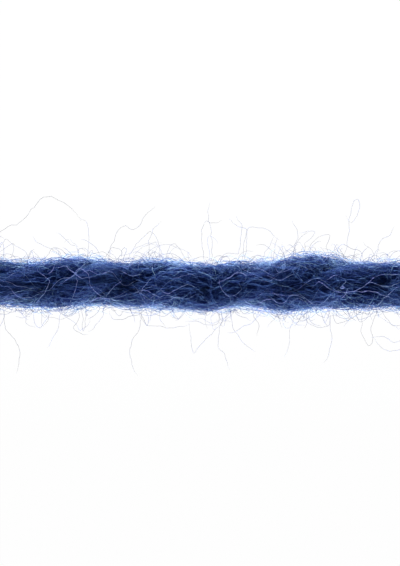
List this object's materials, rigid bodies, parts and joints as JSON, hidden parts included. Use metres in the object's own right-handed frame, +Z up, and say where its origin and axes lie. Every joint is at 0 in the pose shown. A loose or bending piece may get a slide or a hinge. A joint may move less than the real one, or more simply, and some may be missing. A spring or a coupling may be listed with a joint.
{
  "type": "knitting yarn",
  "caption": "Cut length of soft plied woollen yarn for knitting, lying straight, with a halo of loose fibres.",
  "frame": {"origin": "on the surface that the yarn lies on, under the middle of the cut length", "axes": "+X along the yarn, +Y across it, +Z up from the surface"},
  "size_m": [0.04, 0.0033, 0.0032],
  "materials": {
    "wool": "matt, hairy woollen"
  },
  "bodies": {
    "root": {"ply_a": "wool", "ply_b": "wool", "ply_c": "wool"}
  },
  "joints": []
}
